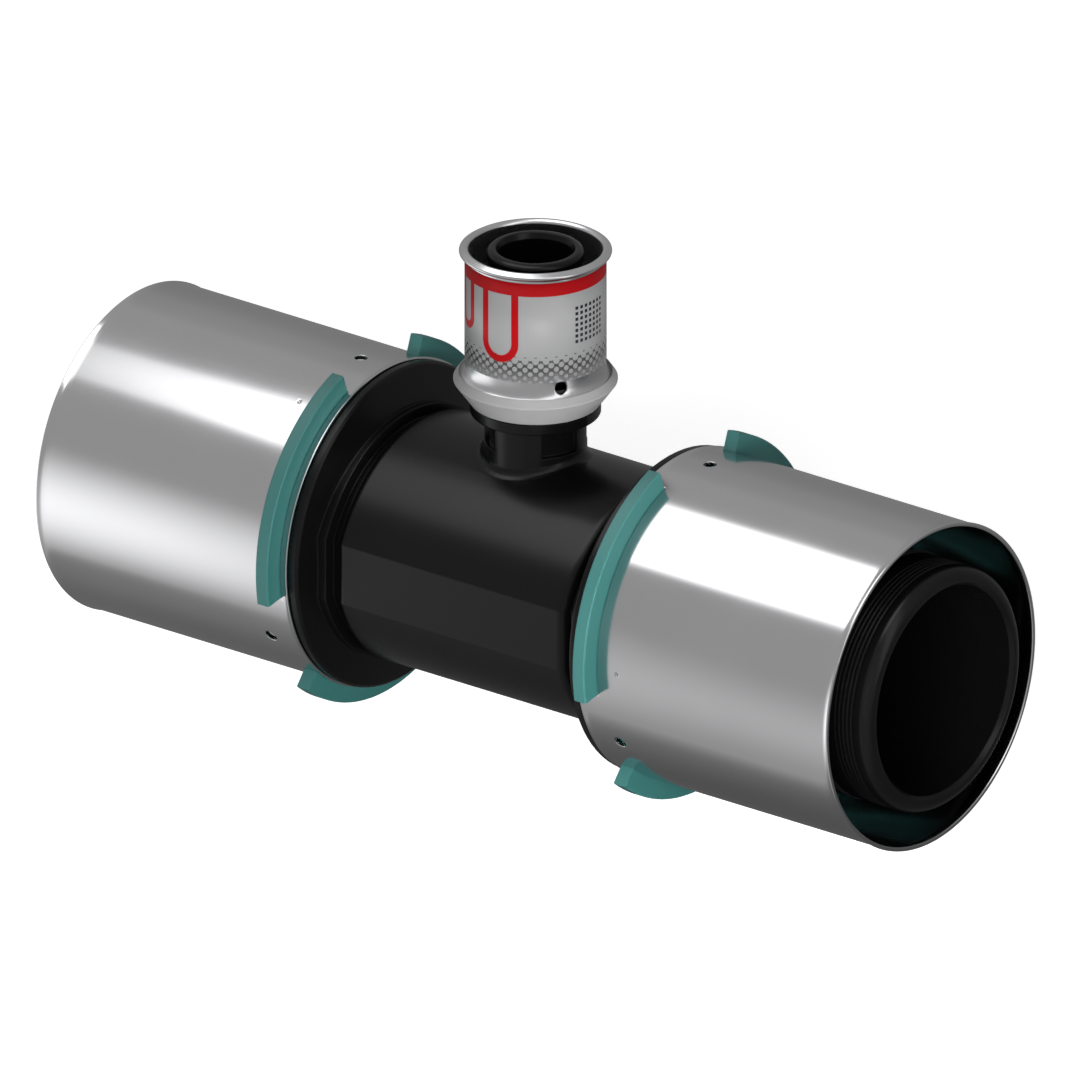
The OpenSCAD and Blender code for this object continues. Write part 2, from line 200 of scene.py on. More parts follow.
class Recipe:
    """One material and the few calls that its recipe needs."""

    def __init__(self, name):
        self.material = bpy.data.materials.new(name)
        self.material.use_nodes = True
        self.tree = self.material.node_tree
        self.shader = self.tree.nodes["Principled BSDF"]

    def put(self, socket, value):
        """Links an output to a socket, or sets the socket to a plain value."""
        if isinstance(value, bpy.types.NodeSocket):
            self.tree.links.new(value, socket)
        else:
            socket.default_value = value

    def node(self, kind, settings=None, **inputs):
        """Adds a node. Settings are its own fields, and inputs its sockets by name or place."""
        made = self.tree.nodes.new(kind)
        for field, value in (settings or {}).items():
            setattr(made, field, value)
        for key, value in inputs.items():
            which = int(key[1:]) if key[0] == "_" else key.replace("_", " ")
            self.put(made.inputs[which], value)
        return made

    def finish(self, **sockets):
        """Sets or links the shader's own sockets."""
        for key, value in sockets.items():
            self.put(self.shader.inputs[key.replace("_", " ")], value)
        return self.material

    def place(self, scale=(1, 1, 1)):
        """Object coordinates in metres, stretched by scale."""
        coordinates = self.node("ShaderNodeTexCoord")
        mapping = self.node("ShaderNodeMapping", Vector=coordinates.outputs["Object"], Scale=scale)
        return mapping.outputs["Vector"]

    def noise(self, vector, scale, detail=3.0, roughness=0.5):
        """Noise value from 0 to 1, with scale waves in a metre."""
        made = self.node("ShaderNodeTexNoise", Vector=vector, Scale=scale, Detail=detail,
                         Roughness=roughness)
        return made.outputs["Fac"]

    def ramp(self, value, start, stop, low=0.0, high=1.0, settings=None):
        """Takes start..stop to low..high in a straight line, and stays there beyond them."""
        made = self.node("ShaderNodeMapRange", settings, Value=value, From_Min=start,
                         From_Max=stop, To_Min=low, To_Max=high)
        return made.outputs["Result"]

    def spread(self, value, low, high):
        """Takes 0..1 to low..high."""
        return self.ramp(value, 0.0, 1.0, low, high)

    def blend(self, amount, one, other):
        """Colour from one to other by amount."""
        made = self.node("ShaderNodeMix", {"data_type": "RGBA"}, _0=amount, _6=one, _7=other)
        return made.outputs[2]

    def math(self, operation, one, other=0.0):
        """One step of arithmetic."""
        return self.node("ShaderNodeMath", {"operation": operation}, _0=one, _1=other).outputs[0]

    def bump(self, height, distance, strength=1.0, normal=None):
        """Normal of a surface whose height goes from 0 to distance metres."""
        made = self.node("ShaderNodeBump", Strength=strength, Distance=distance, Height=height)
        if normal is not None:
            self.put(made.inputs["Normal"], normal)
        return made.outputs["Normal"]

    def rounded(self, radius):
        """Normal that turns sharp edges as if they were rounded by radius metres."""
        return self.node("ShaderNodeBevel", {"samples": 6}, Radius=radius).outputs["Normal"]


print("a recipe can:", [call for call in vars(Recipe) if not call.startswith("_")])

# %% [markdown]
# ## Black moulded plastic
# The body is hard engineering plastic from a polished mould: nearly black, satin, with broad soft
# highlights. A very fine grain breaks the highlights, and a slower noise varies the gloss.

# %% Black plastic


def black_plastic():
    """Satin black, with grain of 0.3 mm and slow changes of gloss."""
    recipe = Recipe("black_plastic")
    place = recipe.place()
    grain = recipe.noise(place, 3500, detail=2)
    cloud = recipe.noise(place, 60, detail=3)
    colour = recipe.blend(cloud, (0.0028, 0.0028, 0.0031, 1), (0.0048, 0.0048, 0.0053, 1))
    normal = recipe.bump(grain, 0.000012, 0.5, recipe.rounded(0.0004))
    return recipe.finish(Base_Color=colour, Roughness=recipe.spread(cloud, 0.24, 0.29),
                         Normal=normal, IOR=1.45, Specular_IOR_Level=0.24)


body_black = black_plastic()
print("made", body_black.name)

# %% [markdown]
# ## Drawn steel
# The press sleeves are thin stainless steel, drawn and polished. A metal shader mirrors the
# studio, and its roughness changes a little from place to place. Faint hairlines run round the
# large sleeves, as drawing leaves them. The small sleeve is duller and has no direction.

# %% Steel


def drawn_steel(name, axis_scale, gloss):
    """Bright steel; a larger scale along one axis squeezes the noise there into hairlines."""
    recipe = Recipe(name)
    hair = recipe.noise(recipe.place(axis_scale), 1, detail=4, roughness=0.7)
    cloud = recipe.noise(recipe.place(), 45, detail=4)
    rough = recipe.spread(cloud, *gloss)
    colour = recipe.blend(cloud, (0.56, 0.56, 0.57, 1), (0.61, 0.61, 0.62, 1))
    return recipe.finish(Base_Color=colour, Metallic=1.0, Roughness=rough,
                         Normal=recipe.bump(hair, 0.000004, 0.35))


run_steel = drawn_steel("run_steel", (4000, 60, 60), (0.12, 0.18))
branch_steel = drawn_steel("branch_steel", (60, 60, 60), (0.22, 0.28))
print("made", run_steel.name, "and", branch_steel.name)

# %% [markdown]
# ## Stop ring plastics and rubber
# The rings are matt moulded plastic: teal on the run, light grey on the branch. The seals are
# smooth black rubber.

# %% Ring plastics and rubber


def ring_plastic(name, dark, light, gloss):
    """Matt coloured plastic with fine grain and a slight change of tone."""
    recipe = Recipe(name)
    place = recipe.place()
    cloud = recipe.noise(place, 90, detail=4)
    grain = recipe.noise(place, 3000, detail=2)
    normal = recipe.bump(grain, 0.00001, 0.4, recipe.rounded(0.0002))
    return recipe.finish(Base_Color=recipe.blend(cloud, dark, light), Roughness=gloss,
                         Normal=normal)


def seal_rubber():
    """Black rubber with a dull sheen."""
    recipe = Recipe("seal_rubber")
    cloud = recipe.noise(recipe.place(), 300, detail=3)
    colour = recipe.blend(cloud, (0.010, 0.010, 0.011, 1), (0.018, 0.018, 0.02, 1))
    return recipe.finish(Base_Color=colour, Roughness=recipe.spread(cloud, 0.5, 0.62))


ring_teal = ring_plastic("ring_teal", (0.044, 0.196, 0.184, 1), (0.052, 0.219, 0.205, 1), 0.5)
ring_grey = ring_plastic("ring_grey", (0.39, 0.39, 0.39, 1), (0.44, 0.44, 0.44, 1), 0.45)
rubber = seal_rubber()
print("made", ring_teal.name, ring_grey.name, "and", rubber.name)

# %% [markdown]
# ## Nodes that keep their shape
# The body, the rings and the seals are already right in the CAD model, so they keep its faces. Only
# the material in their slot changes.

# %% CAD nodes that keep their shape
FINISHES = {"tee_body": body_black, "stop_ring_left": ring_teal, "stop_ring_right": ring_teal,
            "stop_ring_branch": ring_grey}
FINISHES.update({name: rubber for name in frame["nodes"] if name.startswith("o_ring")})
for name, finish in FINISHES.items():
    node = frame["nodes"][name]
    node.data.materials.clear()
    node.data.materials.append(finish)
print("finished nodes:", len(FINISHES))

# %% [markdown]
# ## Sleeves with windows
# A sleeve is a closed outline turned round an axis: up the outside, over the rim, down the inside.
# Windows and slots need holes with clean edges. The trick is to lay the grid's own lines along a
# slot's edges and leave its cells out. For a round window a square block of cells is left out
# inside and outside, rings lead from the square to the circle, and a wall joins the two circles.

# %% Grid lines that meet given marks


def lines_through(marks, step):
    """Sorted values that hold every mark, with about step between them."""
    marks = np.unique(np.round(marks, 9))
    counts = np.maximum(np.ceil(np.diff(marks) / step - 1e-6).astype(int), 1)
    parts = [np.linspace(a, b, n, endpoint=False) for a, b, n in zip(marks[:-1], marks[1:], counts)]
    return np.append(np.concatenate(parts), marks[-1])


print("lines through 0, 1 and 4:", lines_through([0, 1, 4], 1.5))

# %% [markdown]
# ## One shell for three sleeves
# `Shell` keeps the outline, the grid's faces and a list of which faces stay. Windows, slots and
# punch marks each take a block of faces out and add their own edges, so any sleeve can have any
# number of them.

# %% The shell


class Shell:
    """Turned shell with an outer and an inner wall that share the same grid lines.

    along: positions of the rows; outer, inner: radius of each wall at each row; rim, foot: extra
    (along, radius) points that join the walls at the top and at the start.
    A point is (along, radius, angle).
    """

    def __init__(self, along, outer, inner, rim, foot, angles):
        self.along, self.outer, self.inner, self.angles = along, outer, inner, angles
        outline = np.concatenate([np.column_stack([along, outer]), rim,
                                  np.column_stack([along, inner])[::-1], foot])
        self.rows, self.cols = len(outline), len(angles)
        self.inner_start = len(along) + len(rim)
        self.points = [np.column_stack([np.repeat(outline, self.cols, axis=0),
                                        np.tile(angles, self.rows)])]
        self.total = self.rows * self.cols
        self.quads = grid_quads(self.rows, self.cols, close_rows=True, close_cols=True)
        self.keep = np.ones(len(self.quads), bool)
        self.extra = []

    def wall_row(self, line, inside):
        """Row of the outline that holds grid line number line of the outer or inner wall."""
        return self.inner_start + len(self.along) - 1 - line if inside else line

    def block(self, low, high, left, right, inside):
        """Leaves out the cells between two lines and two angles, and returns the block's border."""
        i0, i1 = (int(np.argmin(abs(self.along - v))) for v in (low, high))
        j0, j1 = (int(np.argmin(abs(self.angles - v))) for v in (left, right))
        r0, r1 = sorted((self.wall_row(i0, inside), self.wall_row(i1, inside)))
        cells = self.keep.reshape(self.rows, self.cols)
        cells[r0:r1, j0:j1] = False
        lines = np.concatenate([np.full(j1 - j0, i0), np.arange(i0, i1), np.full(j1 - j0, i1),
                                np.arange(i1, i0, -1)])
        turns = np.concatenate([np.arange(j0, j1), np.full(i1 - i0, j1), np.arange(j1, j0, -1),
                                np.full(i1 - i0, j0)])
        return self.wall_row(lines, inside) * self.cols + turns

    def add(self, points):
        """Adds points and returns their numbers."""
        self.points.append(points)
        self.total += len(points)
        return np.arange(self.total - len(points), self.total)

    def band(self, one, other):
        """Quads between two loops of the same length."""
        self.extra.append(np.column_stack([one, np.roll(one, -1), np.roll(other, -1), other]))

    def rings(self, border, centre, turn, radius, inside, steps, dent=0.0):
        """Rings from a block's border to a circle; a dent lowers the last rings and closes them."""
        table = np.concatenate(self.points)[border]
        radii = self.inner if inside else self.outer
        offset = np.column_stack([table[:, 0] - centre, (table[:, 2] - turn) * table[:, 1]])
        bearing = np.arctan2(offset[:, 1], offset[:, 0])
        circle = np.column_stack([np.cos(bearing), np.sin(bearing)]) * radius
        last = border
        shares = [(k / steps, 1.0) for k in range(1, steps + 1)]
        shares += [(1.0, size) for size in (0.75, 0.5, 0.25)] if dent else []
        for share, size in shares:
            flat = (offset + (circle - offset) * share) * size
            reach = centre + flat[:, 0]
            height = np.interp(reach, self.along, radii)
            deep = dent * (1 - size ** 2)
            points = np.column_stack([reach, height - deep, turn + flat[:, 1] / height])
            new = self.add(points)
            self.band(last, new)
            last = new
        if dent:
            bottom = np.interp(centre, self.along, radii) - dent
            middle = self.add(np.array([[centre, bottom, turn]]))
            fan = np.column_stack([last, np.roll(last, -1), np.full(len(last), middle[0])])
            self.extra.append(fan)
        return last

    def window(self, centre, turn, radius, half):
        """Round hole through both walls."""
        edges = []
        for inside in (False, True):
            spread = half / np.interp(centre, self.along, self.outer)
            border = self.block(centre - half, centre + half, turn - spread, turn + spread, inside)
            edges.append(self.rings(border, centre, turn, radius, inside, steps=3))
        self.band(*edges)

    def slot(self, low, high, left, right):
        """Slot through both walls along the grid's own lines."""
        self.band(*(self.block(low, high, left, right, inside) for inside in (False, True)))

    def dent(self, centre, turn, radius, half, depth):
        """Punch mark in the outer wall."""
        spread = half / np.interp(centre, self.along, self.outer)
        border = self.block(centre - half, centre + half, turn - spread, turn + spread, False)
        self.rings(border, centre, turn, radius, inside=False, steps=2, dent=depth)

    def result(self):
        """All points as (along, radius, angle), and the faces."""
        return np.concatenate(self.points), [self.quads[self.keep]] + self.extra


print("a shell can:", [call for call in vars(Shell) if not call.startswith("_")])

# %% [markdown]
# ## The edge of the sheet
# Sheet steel isn't cut off square: its edge is a small, somewhat flattened half circle, and that is
# what catches the light round a mouth.

# %% A rounded rim
RIM_FLATNESS = 0.6


def rounded_rim(at, outer_r, inner_r, forward, steps=5):
    """Flattened half circle over an edge: centre + half wall * (RIM_FLATNESS * sin a, cos a)."""
    a = np.linspace(0, np.pi, steps + 2)[1:-1]
    half = (outer_r - inner_r) / 2
    reach = at + forward * half * RIM_FLATNESS * np.sin(a)
    return np.column_stack([reach, (outer_r + inner_r) / 2 + half * np.cos(a)])


print("points over a rim:", len(rounded_rim(SLEEVE_END, SLEEVE_R, SLEEVE_R - SLEEVE_WALL, 1)))

# %% [markdown]
# ## Grid lines of the run sleeves
# Each run sleeve has three slots for the lugs, a window between the slots and a small punch mark
# beside each window. The grid gets a line at every edge of these, and the tube's seam lies where
# nothing is cut.

# %% Grid lines of a run sleeve
LUG_TURNS = np.radians([60, 180, 300])
GAP_TURNS = np.radians([0, 120, 240])
PUNCH_STEP = np.radians(30)
SLOT_HALF = LUG_SPAN / 2 + FIT / SLEEVE_R
WINDOW_HALF = 2.2 * MM
PUNCH_HALF = 0.9 * MM
SEAM_TURN = np.radians(-20)
TURN_STEP, ALONG_STEP = np.radians(1.2), 1.1 * MM


def sleeve_turns(punch_turns):
    """Angles of the grid, from seam to seam, through every edge of a slot, window or mark."""
    seam = [SEAM_TURN, SEAM_TURN + 2 * np.pi]
    marks = [LUG_TURNS - SLOT_HALF, LUG_TURNS + SLOT_HALF]
    marks += [GAP_TURNS + s * WINDOW_HALF / SLEEVE_R for s in (-1, 1)]
    marks += [punch_turns + s * PUNCH_HALF / SLEEVE_R for s in (-1, 1)]
    marks = np.concatenate(marks)
    marks = np.where(marks < seam[0], marks + 2 * np.pi, marks)
    marks = np.where(marks > seam[1], marks - 2 * np.pi, marks)
    return lines_through(np.concatenate([marks, seam]), TURN_STEP)[:-1]


def sleeve_places():
    """Places of the grid along the run, through the same edges and both flares."""
    marks = [SLEEVE_START, LUG_START - FIT, LUG_END + FIT, WINDOW_X - WINDOW_HALF,
             WINDOW_X + WINDOW_HALF, PUNCH_X - PUNCH_HALF, PUNCH_X + PUNCH_HALF,
             SLEEVE_END - MOUTH_FLARE_L, SLEEVE_END]
    marks += [SLEEVE_START + START_FLARE_L * share for share in (0.25, 0.5, 0.75, 1)]
    return lines_through(marks, ALONG_STEP)


print("rings of points along a run sleeve:", len(sleeve_places()))

# %% [markdown]
# ## The run sleeves
# The left sleeve is the right one mirrored. Both ends flare by a hair: one is the mouth, and the
# other shows as a bright rim beside the body's flange.

# %% Run sleeves
RIM_DEPTH = 0.2 * MM


def run_sleeve(side):
    """Turned shell round X; the angle counts from the branch's side towards the front.

    Each flare is its height times the square of the share of its length that is left.
    """
    punch_turns = np.mod(GAP_TURNS - side * PUNCH_STEP, 2 * np.pi)
    along = sleeve_places()
    to_mouth = (along - SLEEVE_END) / MOUTH_FLARE_L + 1
    from_start = 1 - (along - SLEEVE_START) / START_FLARE_L
    flare = MOUTH_FLARE * np.clip(to_mouth, 0, 1) ** 2
    flare += START_FLARE * np.clip(from_start, 0, 1) ** 2
    outer, inner = SLEEVE_R + flare, SLEEVE_R - SLEEVE_WALL + flare
    ends = SLEEVE_START + RIM_DEPTH, SLEEVE_END - RIM_DEPTH
    rim = rounded_rim(ends[1], outer[-1], inner[-1], 1)
    foot = rounded_rim(ends[0], outer[0], inner[0], -1)[::-1]
    shell = Shell(np.clip(along, *ends), outer, inner, rim, foot, sleeve_turns(punch_turns))
    for turn in LUG_TURNS:
        shell.slot(LUG_START - FIT, LUG_END + FIT, turn - SLOT_HALF, turn + SLOT_HALF)
    for turn in GAP_TURNS:
        shell.window(WINDOW_X, turn, WINDOW_R, WINDOW_HALF)
    for turn in punch_turns:
        turn = turn if turn > SEAM_TURN else turn + 2 * np.pi
        shell.dent(PUNCH_X, turn, PUNCH_R, PUNCH_HALF, PUNCH_DEPTH)
    table, faces = shell.result()
    reach, radius, angle = table.T
    upright = np.column_stack([side * reach, -radius * np.sin(angle), radius * np.cos(angle)])
    name = "steel_sleeve_right" if side > 0 else "steel_sleeve_left"
    piece = solid_piece(name, lie_down(upright), faces, run_steel)
    soften_edges(piece, EDGE_SOFT)
    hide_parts("press_sleeve_right" if side > 0 else "press_sleeve_left")


for side in (-1, 1):
    run_sleeve(side)

# %% [markdown]
# ## Sizes of the branch
# The branch leans, so its box tells little. Its nodes' own points, stood upright, give heights and
# radii about the branch's axis instead.

# %% Heights and radii about the branch


def about_branch(name):
    """Height above the run's axis and distance from the branch's axis, for each point of a node."""
    node = frame["nodes"][name]
    points = np.array([node.matrix_world @ v.co for v in node.data.vertices])
    upright = points @ LYING.T
    return upright[:, 2], np.hypot(upright[:, 0], upright[:, 1])


heights, radii = about_branch("print_film")
FILM_LOW, FILM_HIGH, FILM_R = heights.min(), heights.max(), radii.max()
FILM_IN_R = radii.min()
heights, radii = about_branch("press_sleeve_branch")
FOOT_Z, LIP_Z = heights.min(), heights.max()
LIP_R, BRANCH_IN_R = radii.max(), radii.min()
BRANCH_WALL = 0.8 * MM
BRANCH_R = BRANCH_IN_R + BRANCH_WALL
FOOT_H = 3.2 * MM
FOOT_FLARE = radii[heights < FOOT_Z + 0.01 * MM].max() - BRANCH_R
BRANCH_WINDOW_Z = FOOT_Z + 2.1 * MM
BRANCH_WINDOW_TURN = -31
BRANCH_WINDOW_HALF = 2 * MM
LIP_EDGE_R, LIP_TURN, LIP_UNDER = 0.45 * MM, 1 * MM, 0.8 * MM
print("branch sleeve from", round(FOOT_Z / MM, 2), "to", round(LIP_Z / MM, 2), "mm")
print("radius", round(BRANCH_R / MM, 2), "mm")

# %% [markdown]
# ## The branch sleeve
# A drawn tube with a rolled lip at the mouth and a foot that flares like a quarter ellipse into its
# cup. The lip is part of the outline: under its face, round its edge, over its crest and in.

# %% Branch sleeve


def stretch(centre, size, start, end, steps=7):
    """Arc of (height, radius) points: centre + size * (sin a, cos a)."""
    a = np.radians(np.linspace(start, end, steps))
    return np.column_stack([centre[0] + size[0] * np.sin(a), centre[1] + size[1] * np.cos(a)])


def branch_sleeve():
    """Turned shell round the branch's axis; the angle counts about it from +X.

    The foot is a quarter ellipse: radius = tube + flare * (1 - root of 1 - (1 - rise) squared).
    """
    half = BRANCH_WINDOW_HALF
    turns = np.radians(np.mod(BRANCH_WINDOW_TURN + np.array([0, 120, 240]), 360))
    edge_z = LIP_Z - 2 * LIP_EDGE_R
    tube_top = edge_z - LIP_EDGE_R - LIP_UNDER
    edge_centre_r = LIP_R - LIP_EDGE_R
    spread = half / BRANCH_R
    angles = lines_through(np.concatenate([[0, 2 * np.pi], turns - spread, turns + spread]),
                           np.radians(2.5))[:-1]
    along = lines_through([FOOT_Z, BRANCH_WINDOW_Z - half, BRANCH_WINDOW_Z + half, tube_top],
                          0.7 * MM)
    rise = np.clip((along - FOOT_Z) / FOOT_H, 0, 1)
    outer = BRANCH_R + FOOT_FLARE * (1 - np.sqrt(1 - (1 - rise) ** 2))
    inner = outer - BRANCH_WALL
    rim = np.concatenate([
        stretch((tube_top, edge_centre_r), (LIP_UNDER, BRANCH_R - edge_centre_r), 0, 90)[1:],
        stretch((edge_z, edge_centre_r), (LIP_EDGE_R, LIP_EDGE_R), -90, 90)[1:],
        stretch((LIP_Z - LIP_TURN, BRANCH_IN_R + LIP_TURN), (LIP_TURN, -LIP_TURN), 90, 0)])
    shell = Shell(along, outer, inner, rim, np.empty((0, 2)), angles)
    for turn in turns:
        shell.window(BRANCH_WINDOW_Z, turn, WINDOW_R, half)
    table, faces = shell.result()
    height, radius, angle = table.T
    upright = np.column_stack([radius * np.cos(angle), radius * np.sin(angle), height])
    piece = solid_piece("steel_sleeve_branch", lie_down(upright), faces, branch_steel)
    soften_edges(piece, EDGE_SOFT)
    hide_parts("press_sleeve_branch")


branch_sleeve()

# %% [markdown]
# ## The printed film
# The film is a thin tube with its own flat map: u is the arc length in millimetres from the side
# that faces the camera, and v is the height above the run's axis. Distances on the map are then
# real distances, so each printed shape is a short formula. The silver ground ends in a halftone:
# staggered dots that are small at the bottom and grow until they close.

# %% Halftone
DOT_PITCH, ROW_PITCH, ROW_SHIFT = 2.1, 0.9, 0.42
DOT_LEAST, DOT_GROWTH, DOT_CLOSING = 0.37, 0.06, 0.1
LATTICE_HEIGHT = 4.3


def from_middle(recipe, count, shift, pitch):
    """Way from the middle of a cell; count grows by one from each cell to the next."""
    share = recipe.math("FRACT", recipe.math("ADD", count, shift))
    return recipe.math("MULTIPLY", recipe.math("SUBTRACT", share, 0.5), pitch)


def distance(recipe, x, y):
    """Length of the step (x, y): the root of x squared plus y squared."""
    squares = [recipe.math("MULTIPLY", side, side) for side in (x, y)]
    return recipe.math("SQRT", recipe.math("ADD", *squares))


def halftone(recipe, u, v):
    """Staggered dots, 1 inside a dot: two lattices, half a pitch apart both ways.

    radius = DOT_LEAST + DOT_GROWTH * rise + DOT_CLOSING * (rise over LATTICE_HEIGHT, if any)
    """
    rise = recipe.math("SUBTRACT", v, FILM_LOW / MM)
    closing = recipe.math("MAXIMUM", recipe.math("SUBTRACT", rise, LATTICE_HEIGHT), 0.0)
    radius = recipe.math("ADD", recipe.math("MULTIPLY", rise, DOT_GROWTH), DOT_LEAST)
    radius = recipe.math("ADD", radius, recipe.math("MULTIPLY", closing, DOT_CLOSING))
    column = recipe.math("DIVIDE", u, DOT_PITCH)
    row = recipe.math("DIVIDE", recipe.math("ADD", v, ROW_SHIFT), 2 * ROW_PITCH)
    found = []
    for shift in (0.0, 0.5):
        x = from_middle(recipe, column, shift, DOT_PITCH)
        y = from_middle(recipe, row, shift, 2 * ROW_PITCH)
        found.append(recipe.math("LESS_THAN", distance(recipe, x, y), radius))
    return recipe.math("MAXIMUM", *found)


print("dots in a row round the film:", round(2 * np.pi * FILM_R / MM / DOT_PITCH))

# %% [markdown]
# ## Band, loops and squares
# Over the ground lie a plain red band, two red loops that hang from it and a field of small dark
# squares. Each is a mask that is 1 on its own ink.

# %% Printed shapes
BAND_LOW = 64
LOOPS = ((-7.6, 53.4, 3.4), (-17.6, 56.5, 2.2))
LOOP_STROKE = 1.5
SQUARES_LEFT, SQUARES_LOW, SQUARES_SIZE = 8.4, 53.0, 8.3
SQUARE_PITCH, SQUARE_SHARE = 1.2, 0.58


def pill_loop(recipe, u, v, middle, low, half):
    """Upright pill up to the band: half from its middle line, give or take half a stroke."""
    x = recipe.math("SUBTRACT", u, middle)
    nearest = recipe.math("MINIMUM", recipe.math("MAXIMUM", v, low), BAND_LOW)
    y = recipe.math("SUBTRACT", v, nearest)
    off = recipe.math("ABSOLUTE", recipe.math("SUBTRACT", distance(recipe, x, y), half))
    return recipe.math("LESS_THAN", off, LOOP_STROKE / 2)


def square_field(recipe, u, v):
    """Small squares inside one large square: a share of every pitch, both ways."""
    mask = 1.0
    for place in (recipe.math("SUBTRACT", u, SQUARES_LEFT),
                  recipe.math("SUBTRACT", v, SQUARES_LOW)):
        cell = recipe.math("FRACT", recipe.math("DIVIDE", place, SQUARE_PITCH))
        for part in (recipe.math("LESS_THAN", cell, SQUARE_SHARE),
                     recipe.math("GREATER_THAN", place, 0.0),
                     recipe.math("LESS_THAN", place, SQUARES_SIZE)):
            mask = recipe.math("MULTIPLY", mask, part)
    return mask


print("band height:", round(FILM_HIGH / MM - BAND_LOW, 2), "mm, loops:", len(LOOPS))

# %% [markdown]
# ## Ink on steel
# Ink is dull and hides the metal, so the same masks blend the colour and take the metal away. Low
# on the film the sleeve's own steel shows between the dots, and its colour there is painted from
# light
# at the bottom to dark higher up: a painted dark reflection.

# %% Film material
PAINTED_REFLECTION_HEIGHT = 2.8
DOT_INK, BARE_INK = 0.92, 0.25
SILVERS = (0.385, 0.385, 0.39, 1), (0.415, 0.415, 0.42, 1)
REDS = (0.45, 0.003, 0.006, 1), (0.49, 0.004, 0.008, 1)
# Colour of the bare steel between the dots: light at the bottom, then a painted dark reflection
# higher up.
BARE_STEEL_TO_PAINTED_REFLECTION = (0.92, 0.92, 0.93, 1), (0.28, 0.28, 0.283, 1)
SQUARE_DARK = (0.018, 0.018, 0.02, 1)


def printed_film():
    """Silver dots and ground, red band and loops and dark squares, over steel left bare.

    metal = 1 - ink, where ink is DOT_INK on a dot, BARE_INK beside one and 1 on red and dark.
    """
    recipe = Recipe("film_print")
    flat = recipe.node("ShaderNodeTexCoord").outputs["UV"]
    u, v = recipe.node("ShaderNodeSeparateXYZ", Vector=flat).outputs[:2]
    ground = halftone(recipe, u, v)
    red = recipe.math("GREATER_THAN", v, BAND_LOW)
    for loop in LOOPS:
        red = recipe.math("MAXIMUM", red, pill_loop(recipe, u, v, *loop))
    dark = square_field(recipe, u, v)
    cloud = recipe.noise(recipe.place(), 200, detail=4)
    # Painted reflection: the bare steel between the dots is painted darker upwards.
    height = recipe.ramp(v, FILM_LOW / MM, FILM_LOW / MM + PAINTED_REFLECTION_HEIGHT)
    colour = recipe.blend(ground, recipe.blend(height, *BARE_STEEL_TO_PAINTED_REFLECTION), recipe.blend(cloud, *SILVERS))
    colour = recipe.blend(red, colour, recipe.blend(cloud, *REDS))
    colour = recipe.blend(dark, colour, SQUARE_DARK)
    ink = recipe.math("MAXIMUM", recipe.spread(ground, BARE_INK, DOT_INK),
                      recipe.math("MAXIMUM", red, dark))
    printed = recipe.math("MAXIMUM", ground, red)
    return recipe.finish(Base_Color=colour, Metallic=recipe.math("SUBTRACT", 1.0, ink),
                         Roughness=recipe.spread(printed, 0.26, 0.36), Specular_IOR_Level=0.14)


film_print = printed_film()
print("made", film_print.name)

# %% [markdown]
# ## The film's tube
# A tube that closes on itself has one column of faces where the map's u would jump from one end to
# the other. So u is written for each face's own corners, and a face that crosses the seam keeps its
# corners on one side of it.

# %% Film
FRONT_TURN = np.radians(-52.06)
FILM_COLUMNS = 180


def film_piece():
    """Closed thin tube; u = turn from the front * radius and v = height, both in millimetres."""
    angles = np.linspace(0, 2 * np.pi, FILM_COLUMNS, endpoint=False)
    outline = np.array([[FILM_LOW, FILM_IN_R], [FILM_LOW, FILM_R],
                        [FILM_HIGH, FILM_R], [FILM_HIGH, FILM_IN_R]])
    height, radius = np.repeat(outline, len(angles), axis=0).T
    turn = np.tile(angles, len(outline))
    upright = np.column_stack([radius * np.cos(turn), radius * np.sin(turn), height])
    quads = grid_quads(len(outline), len(angles), close_rows=True, close_cols=True)
    piece = solid_piece("printed_film", lie_down(upright), [quads], film_print)
    mesh = piece.data
    corner = np.empty(len(mesh.loops), int)
    mesh.loops.foreach_get("vertex_index", corner)
    place = np.empty(3 * len(mesh.vertices))
    mesh.vertices.foreach_get("co", place)
    stood = place.reshape(-1, 3)[corner] @ LYING.T
    bearing = np.arctan2(stood[:, 1], stood[:, 0]) - FRONT_TURN
    bearing = (np.mod(bearing + np.pi, 2 * np.pi) - np.pi).reshape(-1, 4)
    lag = bearing[:, :1] - bearing
    bearing += 2 * np.pi * (lag > np.pi) - 2 * np.pi * (lag < -np.pi)
    flat = np.column_stack([bearing.ravel() * FILM_R / MM, stood[:, 2] / MM])
    mesh.uv_layers.new(name="flat").data.foreach_set("uv", flat.ravel())
    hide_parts("print_film")


film_piece()

# %% [markdown]
# ## Floor
# A plain pale sheet under the lugs. Bright steel would mirror a white floor as a white belly, so
# the floor is white to the camera alone. To all else it glows more weakly, least under the tee,
# where a real floor lies in the tee's own shade, and far out as much as the room.

# %% Floor
floor_z = cad_low.z
FLOOR_HALF = 0.9
FLOOR_LIFT = 0.8
ROOM_GLOW = 0.45
FLOOR_GLOW = [(-FLOOR_HALF, ROOM_GLOW), (-0.41, 0.28), (-0.12, 0.19), (-0.07, 0.145),
              (-0.02, 0.12), (0.03, 0.20), (0.12, 0.36), (0.4, ROOM_GLOW)]
LEAN_ALONG, LEAN = (-0.15, 0.02), (0.25, -0.2)
LEAN_FRONT = (0.02, -0.05)


